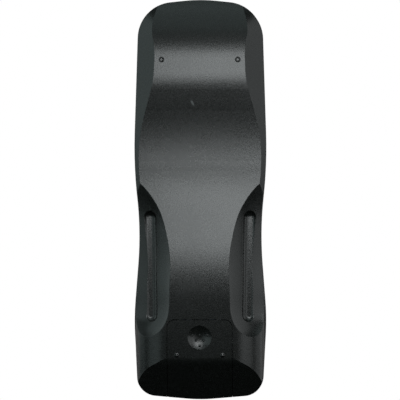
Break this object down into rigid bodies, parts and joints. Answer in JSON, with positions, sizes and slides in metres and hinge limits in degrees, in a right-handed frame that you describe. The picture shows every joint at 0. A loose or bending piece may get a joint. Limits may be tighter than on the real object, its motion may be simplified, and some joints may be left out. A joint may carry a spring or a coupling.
{
  "type": "remote control",
  "caption": "Hand-held infrared remote control with a waved and waisted back, side grip scoops, sliding battery door over two cells, and sprung keys.",
  "frame": {"origin": "centre of the footprint, on the surface that the four nubs of the back lie on", "axes": "+Y to the infrared end, +Z to the keys, +X to the right seen from the keys"},
  "size_m": [0.066, 0.2, 0.0273],
  "materials": {
    "shell": "black plastic with a fine moulded texture",
    "face": "black plastic, satin",
    "window": "very dark red, polished",
    "board": "green solder mask",
    "steel": "zinc plated",
    "sheet": "grey silicone rubber",
    "chip": "moulded black, fine matt",
    "resonator": "amber coating",
    "can": "drawn can",
    "lens": "clear dark blue resin",
    "cell": "plain printed sleeve",
    "contact": "nickel plated spring steel",
    "keycap": "grey plastic, satin",
    "key_red_plastic": "red plastic, satin",
    "key_green_plastic": "green plastic, satin",
    "key_yellow_plastic": "yellow plastic, satin",
    "key_blue_plastic": "blue plastic, satin"
  },
  "bodies": {
    "housing": {"rear_cover": "shell", "front_cover": "face", "ir_window": "window", "circuit_board": "board", "board_screws": "steel", "keypad_sheet": "sheet", "driver_chip": "chip", "resonator": "resonator", "capacitor": "can", "infrared_led": "lens", "battery_left": "cell", "battery_right": "cell", "spring_contact": "contact", "plate_contact": "contact"},
    "battery_door": {"battery_door": "shell", "bridge_contact": "contact"},
    "key_power": {"key_power": "key_red_plastic"},
    "key_source": {"key_source": "keycap"},
    "key_1": {"key_1": "keycap"},
    "key_2": {"key_2": "keycap"},
    "key_3": {"key_3": "keycap"},
    "key_4": {"key_4": "keycap"},
    "key_5": {"key_5": "keycap"},
    "key_6": {"key_6": "keycap"},
    "key_7": {"key_7": "keycap"},
    "key_8": {"key_8": "keycap"},
    "key_9": {"key_9": "keycap"},
    "key_dash": {"key_dash": "keycap"},
    "key_0": {"key_0": "keycap"},
    "key_swap": {"key_swap": "keycap"},
    "key_mute": {"key_mute": "keycap"},
    "key_menu": {"key_menu": "keycap"},
    "key_up": {"key_up": "keycap"},
    "key_left": {"key_left": "keycap"},
    "key_down": {"key_down": "keycap"},
    "key_right": {"key_right": "keycap"},
    "key_ok": {"key_ok": "keycap"},
    "key_back": {"key_back": "keycap"},
    "key_red": {"key_red": "key_red_plastic"},
    "key_green": {"key_green": "key_green_plastic"},
    "key_yellow": {"key_yellow": "key_yellow_plastic"},
    "key_blue": {"key_blue": "key_blue_plastic"},
    "rocker_volume": {"rocker_volume": "keycap"},
    "rocker_channel": {"rocker_channel": "keycap"}
  },
  "joints": [
    {"name": "battery_door_slide", "type": "slide", "parent": "housing", "child": "battery_door", "axis": [0, -1, 0], "range_m": [0, 0.04]},
    {"name": "key_power_press", "type": "slide", "parent": "housing", "child": "key_power", "axis": [0, 0, -1], "range_m": [0, 0.001], "stiffness_N_per_m": 600, "springref_m": -0.0005, "deforming": ["keypad_sheet"]},
    {"name": "key_source_press", "type": "slide", "parent": "housing", "child": "key_source", "axis": [0, 0, -1], "range_m": [0, 0.001], "stiffness_N_per_m": 600, "springref_m": -0.0005, "deforming": ["keypad_sheet"]},
    {"name": "key_1_press", "type": "slide", "parent": "housing", "child": "key_1", "axis": [0, 0, -1], "range_m": [0, 0.001], "stiffness_N_per_m": 600, "springref_m": -0.0005, "deforming": ["keypad_sheet"]},
    {"name": "key_2_press", "type": "slide", "parent": "housing", "child": "key_2", "axis": [0, 0, -1], "range_m": [0, 0.001], "stiffness_N_per_m": 600, "springref_m": -0.0005, "deforming": ["keypad_sheet"]},
    {"name": "key_3_press", "type": "slide", "parent": "housing", "child": "key_3", "axis": [0, 0, -1], "range_m": [0, 0.001], "stiffness_N_per_m": 600, "springref_m": -0.0005, "deforming": ["keypad_sheet"]},
    {"name": "key_4_press", "type": "slide", "parent": "housing", "child": "key_4", "axis": [0, 0, -1], "range_m": [0, 0.001], "stiffness_N_per_m": 600, "springref_m": -0.0005, "deforming": ["keypad_sheet"]},
    {"name": "key_5_press", "type": "slide", "parent": "housing", "child": "key_5", "axis": [0, 0, -1], "range_m": [0, 0.001], "stiffness_N_per_m": 600, "springref_m": -0.0005, "deforming": ["keypad_sheet"]},
    {"name": "key_6_press", "type": "slide", "parent": "housing", "child": "key_6", "axis": [0, 0, -1], "range_m": [0, 0.001], "stiffness_N_per_m": 600, "springref_m": -0.0005, "deforming": ["keypad_sheet"]},
    {"name": "key_7_press", "type": "slide", "parent": "housing", "child": "key_7", "axis": [0, 0, -1], "range_m": [0, 0.001], "stiffness_N_per_m": 600, "springref_m": -0.0005, "deforming": ["keypad_sheet"]},
    {"name": "key_8_press", "type": "slide", "parent": "housing", "child": "key_8", "axis": [0, 0, -1], "range_m": [0, 0.001], "stiffness_N_per_m": 600, "springref_m": -0.0005, "deforming": ["keypad_sheet"]},
    {"name": "key_9_press", "type": "slide", "parent": "housing", "child": "key_9", "axis": [0, 0, -1], "range_m": [0, 0.001], "stiffness_N_per_m": 600, "springref_m": -0.0005, "deforming": ["keypad_sheet"]},
    {"name": "key_dash_press", "type": "slide", "parent": "housing", "child": "key_dash", "axis": [0, 0, -1], "range_m": [0, 0.001], "stiffness_N_per_m": 600, "springref_m": -0.0005, "deforming": ["keypad_sheet"]},
    {"name": "key_0_press", "type": "slide", "parent": "housing", "child": "key_0", "axis": [0, 0, -1], "range_m": [0, 0.001], "stiffness_N_per_m": 600, "springref_m": -0.0005, "deforming": ["keypad_sheet"]},
    {"name": "key_swap_press", "type": "slide", "parent": "housing", "child": "key_swap", "axis": [0, 0, -1], "range_m": [0, 0.001], "stiffness_N_per_m": 600, "springref_m": -0.0005, "deforming": ["keypad_sheet"]},
    {"name": "key_mute_press", "type": "slide", "parent": "housing", "child": "key_mute", "axis": [0, 0, -1], "range_m": [0, 0.001], "stiffness_N_per_m": 600, "springref_m": -0.0005, "deforming": ["keypad_sheet"]},
    {"name": "key_menu_press", "type": "slide", "parent": "housing", "child": "key_menu", "axis": [0, 0, -1], "range_m": [0, 0.001], "stiffness_N_per_m": 600, "springref_m": -0.0005, "deforming": ["keypad_sheet"]},
    {"name": "key_up_press", "type": "slide", "parent": "housing", "child": "key_up", "axis": [0, 0, -1], "range_m": [0, 0.001], "stiffness_N_per_m": 600, "springref_m": -0.0005, "deforming": ["keypad_sheet"]},
    {"name": "key_left_press", "type": "slide", "parent": "housing", "child": "key_left", "axis": [0, 0, -1], "range_m": [0, 0.001], "stiffness_N_per_m": 600, "springref_m": -0.0005, "deforming": ["keypad_sheet"]},
    {"name": "key_down_press", "type": "slide", "parent": "housing", "child": "key_down", "axis": [0, 0, -1], "range_m": [0, 0.001], "stiffness_N_per_m": 600, "springref_m": -0.0005, "deforming": ["keypad_sheet"]},
    {"name": "key_right_press", "type": "slide", "parent": "housing", "child": "key_right", "axis": [0, 0, -1], "range_m": [0, 0.001], "stiffness_N_per_m": 600, "springref_m": -0.0005, "deforming": ["keypad_sheet"]},
    {"name": "key_ok_press", "type": "slide", "parent": "housing", "child": "key_ok", "axis": [0, 0, -1], "range_m": [0, 0.001], "stiffness_N_per_m": 600, "springref_m": -0.0005, "deforming": ["keypad_sheet"]},
    {"name": "key_back_press", "type": "slide", "parent": "housing", "child": "key_back", "axis": [0, 0, -1], "range_m": [0, 0.001], "stiffness_N_per_m": 600, "springref_m": -0.0005, "deforming": ["keypad_sheet"]},
    {"name": "key_red_press", "type": "slide", "parent": "housing", "child": "key_red", "axis": [0, 0, -1], "range_m": [0, 0.001], "stiffness_N_per_m": 600, "springref_m": -0.0005, "deforming": ["keypad_sheet"]},
    {"name": "key_green_press", "type": "slide", "parent": "housing", "child": "key_green", "axis": [0, 0, -1], "range_m": [0, 0.001], "stiffness_N_per_m": 600, "springref_m": -0.0005, "deforming": ["keypad_sheet"]},
    {"name": "key_yellow_press", "type": "slide", "parent": "housing", "child": "key_yellow", "axis": [0, 0, -1], "range_m": [0, 0.001], "stiffness_N_per_m": 600, "springref_m": -0.0005, "deforming": ["keypad_sheet"]},
    {"name": "key_blue_press", "type": "slide", "parent": "housing", "child": "key_blue", "axis": [0, 0, -1], "range_m": [0, 0.001], "stiffness_N_per_m": 600, "springref_m": -0.0005, "deforming": ["keypad_sheet"]},
    {"name": "rocker_volume_tilt", "type": "hinge", "parent": "housing", "child": "rocker_volume", "pos_m": [-0.0185, 0.008, 0.0229], "axis": [1, 0, 0], "range_deg": [-3.5, 3.5], "stiffness_Nm_per_rad": 0.2, "deforming": ["keypad_sheet"]},
    {"name": "rocker_channel_tilt", "type": "hinge", "parent": "housing", "child": "rocker_channel", "pos_m": [0.0185, 0.008, 0.0229], "axis": [1, 0, 0], "range_deg": [-3.5, 3.5], "stiffness_Nm_per_rad": 0.2, "deforming": ["keypad_sheet"]}
  ]
}
